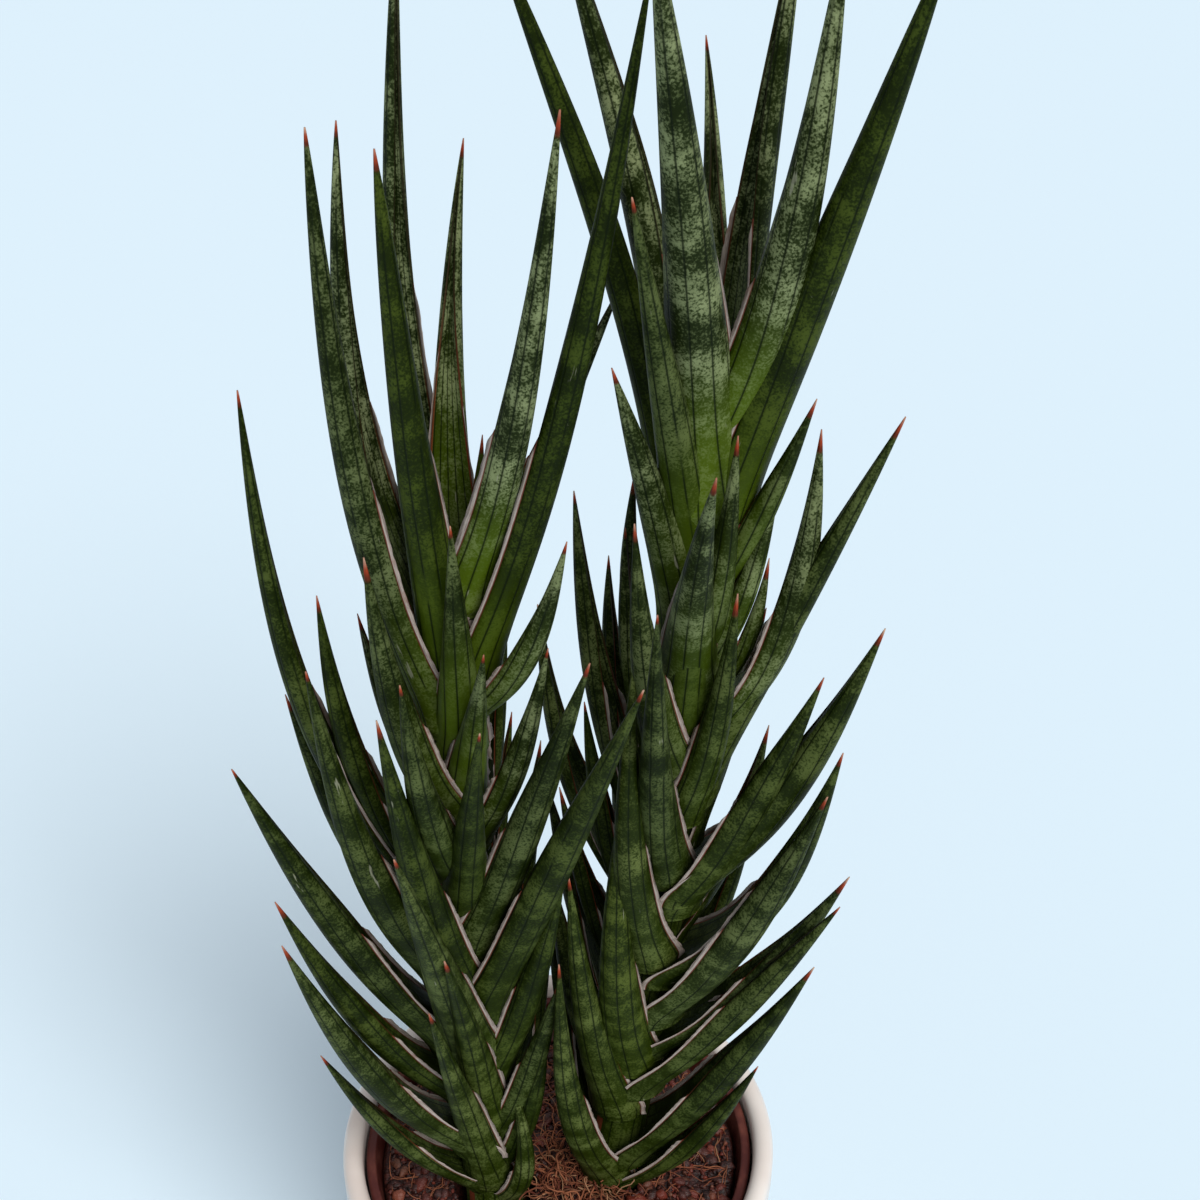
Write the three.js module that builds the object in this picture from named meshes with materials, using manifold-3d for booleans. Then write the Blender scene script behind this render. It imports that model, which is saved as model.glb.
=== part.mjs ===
import * as THREE from 'three';
import { mergeVertices } from 'three/addons/utils/BufferGeometryUtils.js';
import Module from 'manifold-3d';

// A potted sansevieria with two upright stems, in a nursery pot inside a white cover pot.
// Millimetres and degrees, +Z up. The origin is the centre of the cover pot's foot, and -Y is the front.

const wasm = await Module();
wasm.setup();

// Cover pot
const coverHeight = 125;
const coverRimRadius = 67;
const coverInnerRadius = 60.8;
const coverLipHeight = 10;
const coverLipStep = 2.2;
const coverRimRound = 2.4;
const coverFootRadius = 47;
const coverFootRound = 3.5;
const coverWall = 4.2;
const coverFloor = 6;
const coverInnerRound = 2;
const coverSides = 48;

// Nursery pot
const gap = 0.3;
const nurseryStand = coverFloor + gap;
const nurseryRimHeight = 120.3;
const nurseryRimRadius = 60;
const nurseryRimDepth = 8;
const nurseryRimWall = 3;
const nurseryRimRound = 1;
const nurseryTopRadius = 57;
const nurseryFootRadius = 44;
const nurseryWall = 1.5;
const nurseryFloor = 1.8;
const nurserySides = 48;
const nurseryBend = nurseryRimHeight - nurseryRimDepth - 2;
const drainHoles = 6;
const drainHoleRadius = 4;
const drainCircleRadius = 29;
const drainHoleSides = 12;

// Potting mix
const mixEdgeHeight = 114;
const mixMiddleHeight = 117;
const mixEdgeDrop = 1.5;
const mixEdgeInset = 2;
const mixSides = 36;
const holeRadius = 13;
const holeFloorHeight = 96;
const holeAxisHeight = -5;
const holeSides = 24;
const chip = {
	tries: 55,
	spread: 52,
	length: [6, 14],
	breadth: [4, 9],
	thickness: [2.5, 5],
	unevenness: 0.45,
	tip: 0.25,
	rise: 0.4,
	clearance: 1.35,
};

// Stems: the axis bends through these points, each as height above the pot's rim, x and y
const leftAxis = [
	[-30, -19, -12],
	[0, -19.5, -12],
	[80, -24, -13],
	[150, -23, -13],
	[200, -21.5, -12],
	[245, -21, -12],
];
const rightAxis = [
	[-30, 16, -4],
	[0, 17, -4],
	[80, 27, -4],
	[130, 32, -4],
	[200, 36, -4],
	[275, 37.5, -4],
];
const leafPitch = 5.35;
const leftFirstRoot = -10;
const rightFirstRoot = -14;
const coreFootRadius = 10.5;
const coreTopRadius = 6;
const coreSides = 10;
const rootOffset = 2;

// Leaves from the lowest up. Each row is the turn from the front (positive to the right), the length,
// the lean from upright at the root and at the tip, the sideways swing and the breadth round the root.
// A seventh number is the taper's power, lower than usual for a leaf that keeps its width.
// A lone number is the turn of a leaf of the usual form at the back of the stem.
const leftLeaves = [
	[40, 65, 65, -15, 10, 24],
	[-60, 95, 60, 20, -10, 24],
	[-18, 110, 25, 15, -5, 26],
	[60, 70, 38, 8, 0, 28],
	[145, 85, 50, 12, 0, 34],
	[-50, 130, 55, 15, -10, 30],
	[60, 80, 36, 12, 0, 28],
	[-2, 110, 20, 20, -10, 24],
	-150,
	[-57, 116, 55, 17, -10, 28],
	[110, 88, 32, 10, 0, 28, 0.6],
	[60, 95, 34, 12, 0, 28],
	[-10, 135, 30, 20, -5, 28],
	[-60, 137, 45, 17, -10, 32],
	[145, 90, 50, 12, 0, 32],
	-130,
	[55, 150, 30, 20, 0, 30],
	[-20, 130, 30, 10, -5, 28],
	[-45, 138, 45, 6, 0, 28],
	[-100, 100, 60, 12, 0, 24],
	[150, 70, 40, 15, 0, 24],
	[50, 125, 30, 18, 0, 28],
	[-85, 175, 48, 0, 2, 20],
	[10, 100, 30, 20, 10, 24],
	[-80, 108, 50, 2, 0, 24],
	175,
	[-15, 95, 50, 10, 5, 28],
	[140, 65, 35, 10, 0, 24],
	[55, 80, 45, 12, 0, 22],
	[-110, 65, 50, 10, 0, 20],
	[-40, 95, 40, 5, 5, 28],
	[20, 70, 35, 20, 0, 26],
	-160,
	[150, 60, 30, 10, 0, 22],
	[10, 80, 35, 5, -5, 26, 0.6],
	[-57, 163, 30, 0, 5, 20, 0.7],
	[50, 75, 65, 15, 0, 24],
	[60, 190, 30, 10, 0, 20],
	[-20, 145, 20, 5, 5, 20, 0.6],
	[-110, 135, 40, -5, 0, 20],
	[110, 95, 30, 25, 0, 18],
	[-145, 165, 30, -10, 0, 18],
	[42, 138, 35, 10, 0, 20],
	[95, 40, 20, 5, 0, 14],
	[180, 97, 0, 25, -16, 18],
];
const rightLeaves = [
	[60, 90, 60, 20, 5, 30],
	[-28, 120, 45, 0, -15, 28],
	160,
	[62, 118, 50, 22, 10, 42],
	[-125, 85, 36, 8, 0, 30, 0.6],
	[140, 80, 40, 15, 0, 24],
	-160,
	[-35, 115, 30, 5, -5, 25],
	[-105, 85, 34, 6, 0, 30, 0.6],
	[62, 108, 50, 27, 15, 42, 0.7],
	175,
	[-15, 115, 35, -5, -15, 30],
	[72, 101, 67, 23, 1, 42, 0.6],
	[-125, 85, 45, 12, 0, 30],
	[115, 75, 60, 15, 0, 30, 0.5],
	[57, 114, 51, 17, 6, 50, 0.5],
	[-105, 75, 40, 10, 0, 22],
	-165,
	[65, 111, 66, 12, -4, 46, 0.5],
	[-20, 120, 40, -5, -10, 24],
	[110, 75, 60, 10, 0, 30, 0.5],
	[-95, 80, 35, 5, 0, 22],
	[-120, 100, 65, 5, 0, 24],
	[57, 100, 43, 17, 11, 46, 0.5],
	[69, 113, 56, 17, 2, 48, 0.5],
	[-15, 115, 35, 10, 15, 24],
	[-115, 112, 38, 4, 0, 24],
	[105, 75, 30, 12, 0, 26],
	[-135, 80, 60, 0, 0, 24],
	[35, 85, 35, 5, 0, 24],
	[75, 130, 28, 20, 0, 24],
	[-120, 75, 40, 0, 0, 20],
	[-30, 93, 40, 6, 0, 24],
	[-130, 80, 50, -5, 0, 20],
	[75, 100, 58, 0, 0, 34],
	[0, 90, 20, 20, 10, 24],
	[75, 50, 60, 5, 0, 20],
	[-5, 95, 30, 25, 15, 28],
	[55, 65, 40, 10, 0, 24],
	[20, 75, 40, 5, 0, 22],
	[-42, 90, 20, 20, 0, 24, 0.6],
	175,
	[52, 70, 40, 18, 0, 24],
	[-80, 160, 8, 20, 0, 22, 0.7],
	[-25, 115, 25, 20, 0, 22],
	[50, 160, 25, 17, -5, 25, 0.65],
	[-100, 145, 5, 17, 0, 24, 0.7],
	[-10, 155, 20, 20, -15, 30, 0.7],
	[170, 100, 30, 30, 20, 20],
	[120, 130, 10, 7, 0, 22],
	[35, 130, 40, 5, 0, 28],
];
const backLeaf = { length: 80, growth: 0.65, rootLean: 50, tipLean: 16, breadth: 24 };

// Leaf section: a groove along the inner side that narrows from an open trough to a slit.
// The radius falls from the sheath round the stem to the spine, along the share t of the length.
const leafSteps = 32;
const ringSteps = [2, 7, 14, 23];
const outerPlaces = [-1, -0.42, 0.42, 1];
const sheathShare = 0.42;
const sheathLength = 0.13;
const usualTaper = 0.8;
const spineRadius = 0.15;
const openHalfAngle = 84;
const closedHalfAngle = 168;
const closingFrom = 0.12;
const closingTo = 0.82;
const wallShare = 0.75;
const wallBase = 2;
const wallGrowth = 0.55;
const uprightLength = 0.06;
const lowestNarrowing = 0.8;
const narrowingStep = 0.05;

const radians = THREE.MathUtils.degToRad;
const { lerp, mapLinear, smoothstep } = THREE.MathUtils;
const up = new THREE.Vector3(0, 0, 1);

// A closed mesh without its normals and texture coordinates, as a solid that can be joined or cut
function solidFrom(geometry) {
	geometry.deleteAttribute('normal');
	geometry.deleteAttribute('uv');
	const merged = mergeVertices(geometry, 1e-4);
	const vertProperties = new Float32Array(merged.attributes.position.array);
	const triVerts = new Uint32Array(merged.index.array);
	return new wasm.Manifold(new wasm.Mesh({ numProp: 3, vertProperties, triVerts }));
}

// The solid's largest piece as a mesh, so that a sealed hollow is filled and a loose scrap is dropped
function meshFrom(solid, name, material) {
	const pieces = solid.decompose();
	const largest = pieces.reduce((best, piece) => (piece.volume() > best.volume() ? piece : best));
	const { vertProperties, triVerts } = largest.getMesh();
	const geometry = new THREE.BufferGeometry();
	geometry.setAttribute('position', new THREE.BufferAttribute(vertProperties, 3));
	geometry.setIndex(new THREE.BufferAttribute(triVerts, 1));
	const mesh = new THREE.Mesh(geometry, material);
	mesh.name = name;
	return mesh;
}

// A turned solid from a profile of radius and height that runs from the axis round to the axis
function turned(profile, sides) {
	const points = profile.map(([radius, height]) => new THREE.Vector2(radius, height));
	return solidFrom(new THREE.LatheGeometry(points, sides).rotateX(Math.PI / 2));
}

// An upright round bar between two heights
function bar(radius, bottom, top, sides, x, y) {
	const geometry = new THREE.CylinderGeometry(radius, radius, top - bottom, sides);
	geometry.rotateX(Math.PI / 2).translate(x, y, (bottom + top) / 2);
	return solidFrom(geometry);
}

// Numbers from 0 to 1 that are the same on every run
function seededDraw(seed) {
	let state = seed;
	return () => {
		state = (state * 16807) % 2147483647;
		return state / 2147483647;
	};
}

// A closed skin over rings of points, capped from the last point of the first ring to a single tip
function loftGeometry(points, ringSize) {
	const faces = [];
	const tip = points.length - 1;
	const rings = tip / ringSize;
	for (let j = 1; j < ringSize - 1; j++) {
		faces.push(ringSize - 1, j, j - 1);
	}
	for (let ring = 0; ring < rings; ring++) {
		for (let j = 0; j < ringSize; j++) {
			const a = ring * ringSize + j;
			const b = ring * ringSize + ((j + 1) % ringSize);
			if (ring === rings - 1) {
				faces.push(a, b, tip);
			} else {
				faces.push(a, b, b + ringSize, a, b + ringSize, a + ringSize);
			}
		}
	}
	const geometry = new THREE.BufferGeometry().setFromPoints(points);
	geometry.setIndex(faces);
	return geometry;
}

// Cover pot: a tapered wall with a rounded foot, and a lip that stands out round the rim
function coverPotSolid() {
	const lipBottom = coverHeight - coverLipHeight;
	const rimBend = 0.3 * coverRimRound;
	return turned([
		[0, 0],
		[coverFootRadius, 0],
		[coverFootRadius + coverFootRound, coverFootRound],
		[coverRimRadius - coverLipStep, lipBottom - coverLipStep / 2],
		[coverRimRadius, lipBottom + coverLipStep / 2],
		[coverRimRadius, coverHeight - coverRimRound],
		[coverRimRadius - rimBend, coverHeight - rimBend],
		[coverRimRadius - coverRimRound, coverHeight],
		[coverInnerRadius + coverRimRound / 2, coverHeight],
		[coverInnerRadius, coverHeight - coverRimRound / 2],
		[coverInnerRadius, lipBottom - coverLipHeight / 2],
		[coverFootRadius + coverFootRound - coverWall, coverFloor + coverInnerRound],
		[coverFootRadius - coverInnerRound, coverFloor],
		[0, coverFloor],
	], coverSides);
}

// Nursery pot: a thin tapered wall, a stepped rim, and drain holes in its floor
function nurseryPotSolid() {
	const rimBottom = nurseryRimHeight - nurseryRimDepth;
	const floorTop = nurseryStand + nurseryFloor;
	const rimInner = nurseryRimRadius - nurseryRimWall;
	let pot = turned([
		[0, nurseryStand],
		[nurseryFootRadius, nurseryStand],
		[nurseryTopRadius, rimBottom],
		[nurseryRimRadius, rimBottom],
		[nurseryRimRadius, nurseryRimHeight - nurseryRimRound],
		[nurseryRimRadius - nurseryRimRound, nurseryRimHeight],
		[rimInner + nurseryRimRound, nurseryRimHeight],
		[rimInner, nurseryRimHeight - nurseryRimRound],
		[nurseryTopRadius - nurseryWall, nurseryBend],
		[nurseryFootRadius - nurseryWall, floorTop],
		[0, floorTop],
	], nurserySides);
	for (let hole = 0; hole < drainHoles; hole++) {
		const turn = (2 * Math.PI * hole) / drainHoles;
		const x = drainCircleRadius * Math.cos(turn);
		const y = drainCircleRadius * Math.sin(turn);
		pot = pot.subtract(bar(drainHoleRadius, 0, floorTop + 1, drainHoleSides, x, y));
	}
	return pot;
}

// The nursery pot's inner radius at a height: one taper up to the bend and a second inside the rim
function nurseryInnerRadius(height) {
	const bendRadius = nurseryTopRadius - nurseryWall;
	const rimTop = nurseryRimHeight - nurseryRimRound;
	if (height < nurseryBend) {
		const floorTop = nurseryStand + nurseryFloor;
		return mapLinear(height, floorTop, nurseryBend, nurseryFootRadius - nurseryWall, bendRadius);
	}
	return mapLinear(height, nurseryBend, rimTop, bendRadius, nurseryRimRadius - nurseryRimWall);
}

// The mix's top is a low mound
function mixHeightAt(radius) {
	return lerp(mixMiddleHeight, mixEdgeHeight, Math.min(1, radius / nurseryTopRadius) ** 2);
}

// The mix's outline, with its top raised by a margin
function mixOutline(margin) {
	const bottom = nurseryStand + nurseryFloor + gap;
	const edge = mixEdgeHeight - mixEdgeDrop;
	const middleRadius = nurseryTopRadius / 2;
	return [
		[0, bottom],
		[nurseryInnerRadius(bottom) - gap, bottom],
		[nurseryInnerRadius(nurseryBend) - gap, nurseryBend],
		[nurseryInnerRadius(edge) - gap, edge + margin],
		[nurseryInnerRadius(edge) - mixEdgeInset, mixHeightAt(nurseryTopRadius) + margin],
		[middleRadius, mixHeightAt(middleRadius) + margin],
		[0, mixMiddleHeight + margin],
	];
}

// The two blind upright holes that the stems stand in, drawn smaller all round by a margin
function stemHoles(margin) {
	const holes = [leftAxis, rightAxis].map((axis) => {
		const [x, y] = axisPoint(axis, holeAxisHeight);
		return bar(holeRadius - margin, holeFloorHeight + margin, coverHeight, holeSides, x, y);
	});
	return wasm.Manifold.union(holes);
}

// A bark chip: a flat block with uneven corners, turned and tipped by the seeded draw
function barkChip(draw) {
	const size = [chip.length, chip.breadth, chip.thickness].map(([least, most]) => lerp(least, most, draw()));
	const block = new THREE.BoxGeometry(...size);
	block.deleteAttribute('normal');
	block.deleteAttribute('uv');
	const lump = mergeVertices(block);
	const corners = lump.attributes.position;
	const pull = () => 1 - chip.unevenness * draw();
	for (let i = 0; i < corners.count; i++) {
		corners.setXYZ(i, corners.getX(i) * pull(), corners.getY(i) * pull(), corners.getZ(i) * pull());
	}
	lump.rotateX(chip.tip * (2 * draw() - 1)).rotateY(chip.tip * (2 * draw() - 1)).rotateZ(2 * Math.PI * draw());
	return lump;
}

// Potting mix: a filled pot's worth with a blind hole for each stem and chips sunk into its top.
// A chip that would touch what stands in the way, such as a leaf or the pot, is left out.
function mixSolid(inTheWay) {
	const draw = seededDraw(7);
	const chips = [];
	for (let i = 0; i < chip.tries; i++) {
		const radius = chip.spread * Math.sqrt(draw());
		const turn = 2 * Math.PI * draw();
		const lump = barkChip(draw);
		const place = [radius * Math.cos(turn), radius * Math.sin(turn), mixHeightAt(radius) + chip.rise * draw()];
		const grown = lump.clone().scale(chip.clearance, chip.clearance, chip.clearance).translate(...place);
		const test = solidFrom(grown);
		if (inTheWay.every((solid) => solid.intersect(test).isEmpty())) {
			chips.push(solidFrom(lump.translate(...place)));
		}
	}
	const body = turned(mixOutline(0), mixSides).subtract(stemHoles(0));
	return wasm.Manifold.union([body, ...chips]);
}

// The point on a stem's axis at a height above the pot's rim, as x, y and z
function axisPoint(axis, height) {
	let i = 0;
	while (i < axis.length - 2 && height > axis[i + 1][0]) {
		i++;
	}
	const share = (height - axis[i][0]) / (axis[i + 1][0] - axis[i][0]);
	const x = lerp(axis[i][1], axis[i + 1][1], share);
	const y = lerp(axis[i][2], axis[i + 1][2], share);
	return [x, y, coverHeight + height];
}

// A leaf's middle line: it starts upright at the stem's axis, leans out within a few millimetres and
// straightens again towards its tip. Each step also has the leaf's sideways and inward directions.
function leafLine(axis, rootHeight, [turn, length, rootLean, tipLean, swing]) {
	const stepLength = length / (leafSteps - 1);
	const point = new THREE.Vector3(...axisPoint(axis, rootHeight));
	const steps = [];
	for (let i = 0; i < leafSteps; i++) {
		const t = i / (leafSteps - 1);
		const risen = 1 - Math.exp(-t / uprightLength);
		const lean = radians(lerp(tipLean, rootLean, (1 - t) ** 2) * risen);
		const facing = radians(turn + swing * t);
		const out = new THREE.Vector3(Math.sin(facing), -Math.cos(facing), 0);
		const side = new THREE.Vector3(Math.cos(facing), Math.sin(facing), 0);
		const along = out.clone().multiplyScalar(Math.sin(lean)).addScaledVector(up, Math.cos(lean));
		const inward = out.clone().multiplyScalar(-Math.cos(lean)).addScaledVector(up, Math.sin(lean));
		if (i === 0) {
			point.addScaledVector(out, rootOffset);
		} else {
			point.addScaledVector(steps[i - 1].along, stepLength / 2).addScaledVector(along, stepLength / 2);
		}
		steps.push({ t, point: point.clone(), side, along, inward });
	}
	return steps;
}

// One leaf: five points round each ring, four on the round outer face and one in the groove
function leafSolid(axis, rootHeight, row, narrowing) {
	const [breadth, taper = usualTaper] = row.slice(5);
	const line = leafLine(axis, rootHeight, row);
	const points = [];
	for (const { t, point, side, inward } of ringSteps.map((step) => line[step])) {
		const swell = sheathShare * Math.exp(-t / sheathLength) + (1 - sheathShare) * (1 - t) ** taper;
		const radius = (breadth / 2) * narrowing * swell + spineRadius;
		const closed = smoothstep(t, closingFrom, closingTo);
		const halfAngle = radians(lerp(openHalfAngle, closedHalfAngle, closed));
		for (const place of outerPlaces) {
			const across = point.clone().addScaledVector(side, radius * Math.sin(place * halfAngle));
			points.push(across.addScaledVector(inward, -radius * Math.cos(place * halfAngle)));
		}
		const depth = radius * (1 - Math.cos(halfAngle));
		const thickness = Math.min(wallShare * depth, wallBase + wallGrowth * radius);
		points.push(point.clone().addScaledVector(inward, thickness - radius));
	}
	points.push(line[leafSteps - 1].point);
	return solidFrom(loftGeometry(points, outerPlaces.length + 1));
}

// The stem itself: a slim tapered core from the foot of its hole to the root of its top leaf
function coreSolid(axis, topHeight) {
	const footHeight = holeFloorHeight + 2 * gap - coverHeight;
	const bends = axis.map(([height]) => height).filter((height) => height > footHeight && height < topHeight);
	const points = [];
	for (const height of [footHeight, ...bends, topHeight]) {
		const [x, y, z] = axisPoint(axis, height);
		const radius = mapLinear(height, footHeight, topHeight, coreFootRadius, coreTopRadius);
		for (let side = 0; side < coreSides; side++) {
			const turn = (2 * Math.PI * side) / coreSides;
			points.push(new THREE.Vector3(x + radius * Math.cos(turn), y + radius * Math.sin(turn), z));
		}
	}
	const [x, y, z] = axisPoint(axis, topHeight);
	points.push(new THREE.Vector3(x, y, z + coreTopRadius / 2));
	return solidFrom(loftGeometry(points, coreSides));
}

// The row of a back leaf of the usual form, which is longer the higher it grows
function usualRow(turn, order) {
	const { length, growth, rootLean, tipLean, breadth } = backLeaf;
	return [turn, length + growth * order, rootLean, tipLean, 0, breadth];
}

// A leafy stem: the core and its leaves, grown up the axis one pitch apart and joined into one body.
// What would reach below the mix's top outside the stem's hole is trimmed off.
function leafyStemSolid(axis, firstRoot, leaves) {
	const parts = leaves.map((leaf, order) => {
		const row = Array.isArray(leaf) ? leaf : usualRow(leaf, order);
		const narrowing = Math.min(1, lowestNarrowing + narrowingStep * order);
		return leafSolid(axis, firstRoot + leafPitch * order, row, narrowing);
	});
	parts.push(coreSolid(axis, firstRoot + leafPitch * (leaves.length - 1)));
	const mixAndMargin = turned(mixOutline(gap), mixSides).subtract(stemHoles(gap));
	return wasm.Manifold.union(parts).subtract(mixAndMargin);
}

const whiteGlaze = new THREE.MeshStandardMaterial({ color: 0xe6dcd4, roughness: 0.3, metalness: 0 });
const redBrownPlastic = new THREE.MeshStandardMaterial({ color: 0x5a2019, roughness: 0.5, metalness: 0 });
const barkAndCoir = new THREE.MeshStandardMaterial({ color: 0x4a2218, roughness: 0.95, metalness: 0 });
const leafGreen = new THREE.MeshStandardMaterial({ color: 0x3e5e2c, roughness: 0.55, metalness: 0 });

const nurseryPot = nurseryPotSolid();
const leftStem = leafyStemSolid(leftAxis, leftFirstRoot, leftLeaves);
const rightStem = leafyStemSolid(rightAxis, rightFirstRoot, rightLeaves);
const mix = mixSolid([leftStem, rightStem, nurseryPot, stemHoles(0)]);

const plant = new THREE.Group();
plant.add(meshFrom(coverPotSolid(), 'cover_pot', whiteGlaze));
plant.add(meshFrom(nurseryPot, 'nursery_pot', redBrownPlastic));
plant.add(meshFrom(mix, 'potting_mix', barkAndCoir));
plant.add(meshFrom(leftStem, 'leafy_stem_left', leafGreen));
plant.add(meshFrom(rightStem, 'leafy_stem_right', leafGreen));

export default plant;
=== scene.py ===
import bpy
import numpy as np
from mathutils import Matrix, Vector


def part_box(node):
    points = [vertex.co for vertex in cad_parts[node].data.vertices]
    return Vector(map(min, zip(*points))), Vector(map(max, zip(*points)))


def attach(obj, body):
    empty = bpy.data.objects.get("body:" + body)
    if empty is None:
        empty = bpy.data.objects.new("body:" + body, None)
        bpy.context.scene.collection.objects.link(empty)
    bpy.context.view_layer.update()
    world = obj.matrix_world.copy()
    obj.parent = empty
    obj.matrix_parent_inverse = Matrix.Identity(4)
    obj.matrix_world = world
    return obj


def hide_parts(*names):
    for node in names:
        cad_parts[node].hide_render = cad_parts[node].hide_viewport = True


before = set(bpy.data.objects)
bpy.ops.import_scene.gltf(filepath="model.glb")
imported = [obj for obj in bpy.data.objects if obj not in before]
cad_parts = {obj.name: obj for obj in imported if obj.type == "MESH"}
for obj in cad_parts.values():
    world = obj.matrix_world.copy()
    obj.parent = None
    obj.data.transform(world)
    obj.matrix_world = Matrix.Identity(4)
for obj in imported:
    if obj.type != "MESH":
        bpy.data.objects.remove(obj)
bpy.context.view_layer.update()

# A potted sansevieria with two leafy stems, in a nursery pot inside a white cover pot.
# Shapes are worked out in millimetres as whole arrays and put into the meshes in metres.
mm = 0.001
nurseryBox = np.array(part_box("nursery_pot")) / mm
coverBox = np.array(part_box("cover_pot")) / mm
rimHeight = coverBox[1][2]


# Meshes and nodes

def tint(red, green, blue):
    # an 8-bit colour as the linear colour that the shader takes
    value = np.array([red, green, blue]) / 255
    linear = np.where(value <= 0.04045, value / 12.92, ((value + 0.055) / 1.055) ** 2.4)
    return (*[float(v) for v in linear], 1.0)


def smoothStep(x, low, high):
    # 0 below low, 1 above high and a smooth S between them
    share = np.clip((x - low) / (high - low), 0, 1)
    return share * share * (3 - 2 * share)


def drawn(rng, pair, size):
    # random values from a pair's least one up to its span above that
    return pair[0] + pair[1] * rng.random(size)


def tubeFaces(bodies, rings, around):
    # Faces of closed skins laid out as bodies x rings x around, then one pole at each end of every body:
    # four corners between neighbouring rings, and fans of three corners at the poles.
    body = np.arange(bodies)[:, None, None] * (rings * around + 2)
    ring = np.arange(rings - 1)[None, :, None] * around
    here = np.arange(around)[None, None, :]
    after = (here + 1) % around
    quads = np.stack([body + ring + here, body + ring + after, body + ring + around + after,
                      body + ring + around + here], -1).reshape(-1, 4)
    start, end = body + rings * around, body + rings * around + 1
    last = (rings - 1) * around
    fans = [np.stack(np.broadcast_arrays(start, body + after, body + here), -1).reshape(-1, 3),
            np.stack(np.broadcast_arrays(end, body + last + here, body + last + after), -1).reshape(-1, 3)]
    return quads, np.concatenate(fans)


def ringPoints(radius, height, around):
    # Rings of points round the upright axis, for radii and heights that fit together as arrays
    turn = 2 * np.pi * np.arange(around) / around
    return np.stack(np.broadcast_arrays(radius * np.cos(turn), radius * np.sin(turn), height), -1)


def tubePoints(grid):
    # Flattens bodies x rings x around x 3 and adds the poles, the middles of the first and last rings
    poles = np.stack([grid[:, 0].mean(1), grid[:, -1].mean(1)], 1)
    size = grid.shape[-1]
    return np.concatenate([grid.reshape(len(grid), -1, size), poles], 1).reshape(-1, size)


def newObject(name, data):
    # an object in the scene that shows the data
    made = bpy.data.objects.new(name, data)
    bpy.context.scene.collection.objects.link(made)
    return made


def makePiece(name, points, quads, fans, material, marks=None, replaced=None):
    # One mesh from points in millimetres, faces of four and of three corners, and vectors marked on its
    # points
    mesh = bpy.data.meshes.new(name)
    corners = np.concatenate([quads.ravel(), fans.ravel()]).astype(np.int32)
    starts = np.concatenate([np.arange(len(quads)) * 4, len(quads) * 4 + np.arange(len(fans)) * 3])
    mesh.vertices.add(len(points))
    mesh.vertices.foreach_set("co", (points * mm).astype(np.float32).ravel())
    mesh.loops.add(len(corners))
    mesh.loops.foreach_set("vertex_index", corners)
    mesh.polygons.add(len(starts))
    mesh.polygons.foreach_set("loop_start", starts.astype(np.int32))
    for markName, vectors in (marks or {}).items():
        layer = mesh.attributes.new(markName, "FLOAT_VECTOR", "POINT")
        layer.data.foreach_set("vector", vectors.astype(np.float32).ravel())
    mesh.update(calc_edges=True)
    mesh.polygons.foreach_set("use_smooth", np.ones(len(starts), dtype=bool))
    mesh.materials.append(material)
    piece = newObject(name, mesh)
    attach(piece, "root")
    if replaced:
        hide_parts(replaced)
    print(name, len(quads) * 2 + len(fans), "triangles")
    return piece


def addNode(tree, kind, values=None, **settings):
    # a shader node whose inputs take plain values or the sockets of other nodes
    made = tree.nodes.new("ShaderNode" + kind)
    for key, value in settings.items():
        setattr(made, key, value)
    for key, value in (values or {}).items():
        if isinstance(value, bpy.types.NodeSocket):
            tree.links.new(value, made.inputs[key])
        else:
            made.inputs[key].default_value = value
    return made


def calc(tree, operation, first, second=0.0, third=0.0):
    # one sum on numbers or sockets; MULTIPLY_ADD is first times second plus third
    values = {0: first, 1: second, 2: third}
    return addNode(tree, "Math", values, operation=operation).outputs[0]


def times(tree, first, second):
    return calc(tree, "MULTIPLY", first, second)


def over(tree, first, second):
    return calc(tree, "DIVIDE", first, second)


def between(tree, value, low, high, start=0.0, end=1.0):
    # start below low, end above high, and smooth between them
    values = {"Value": value, "From Min": low, "From Max": high, "To Min": start, "To Max": end}
    return addNode(tree, "MapRange", values, interpolation_type="SMOOTHSTEP").outputs["Result"]


def blend(tree, share, first, second):
    # the first colour going over into the second by a share
    return addNode(tree, "Mix", {0: share, 6: first, 7: second}, data_type="RGBA").outputs[2]


def noise(tree, vector, scale, detail=2.0, roughness=0.5):
    values = {"Vector": vector, "Scale": scale, "Detail": detail, "Roughness": roughness}
    return addNode(tree, "TexNoise", values).outputs[0]


def vectorOf(tree, x, y, z=0.0):
    return addNode(tree, "CombineXYZ", {0: x, 1: y, 2: z}).outputs[0]


def marked(tree, name):
    # the three numbers that a piece carries on its points under a name
    vector = addNode(tree, "Attribute", attribute_name=name).outputs["Vector"]
    return addNode(tree, "SeparateXYZ", {0: vector}).outputs[:]


def objectPlace(tree):
    # the place of a point in the frame, in metres
    return addNode(tree, "TexCoord").outputs["Object"]


def newFinish(name, roughness, shine, **sockets):
    # a material of a roughness and a shine, with further sockets by their names
    material = bpy.data.materials.new(name)
    material.use_nodes = True
    tree = material.node_tree
    shader = tree.nodes["Principled BSDF"]
    for key, value in {"Roughness": roughness, "Specular IOR Level": shine, **sockets}.items():
        shader.inputs[key].default_value = value
    return material, tree, shader


def coverWith(tree, shader, shade, height, depth, rough=None):
    # joins up the colour, a bump of a depth in millimetres and perhaps the roughness
    relief = addNode(tree, "Bump", {"Height": height, "Distance": depth * mm, "Strength": 1.0})
    tree.links.new(shade, shader.inputs["Base Color"])
    tree.links.new(relief.outputs[0], shader.inputs["Normal"])
    if rough:
        tree.links.new(rough, shader.inputs["Roughness"])


# Leaves

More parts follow.
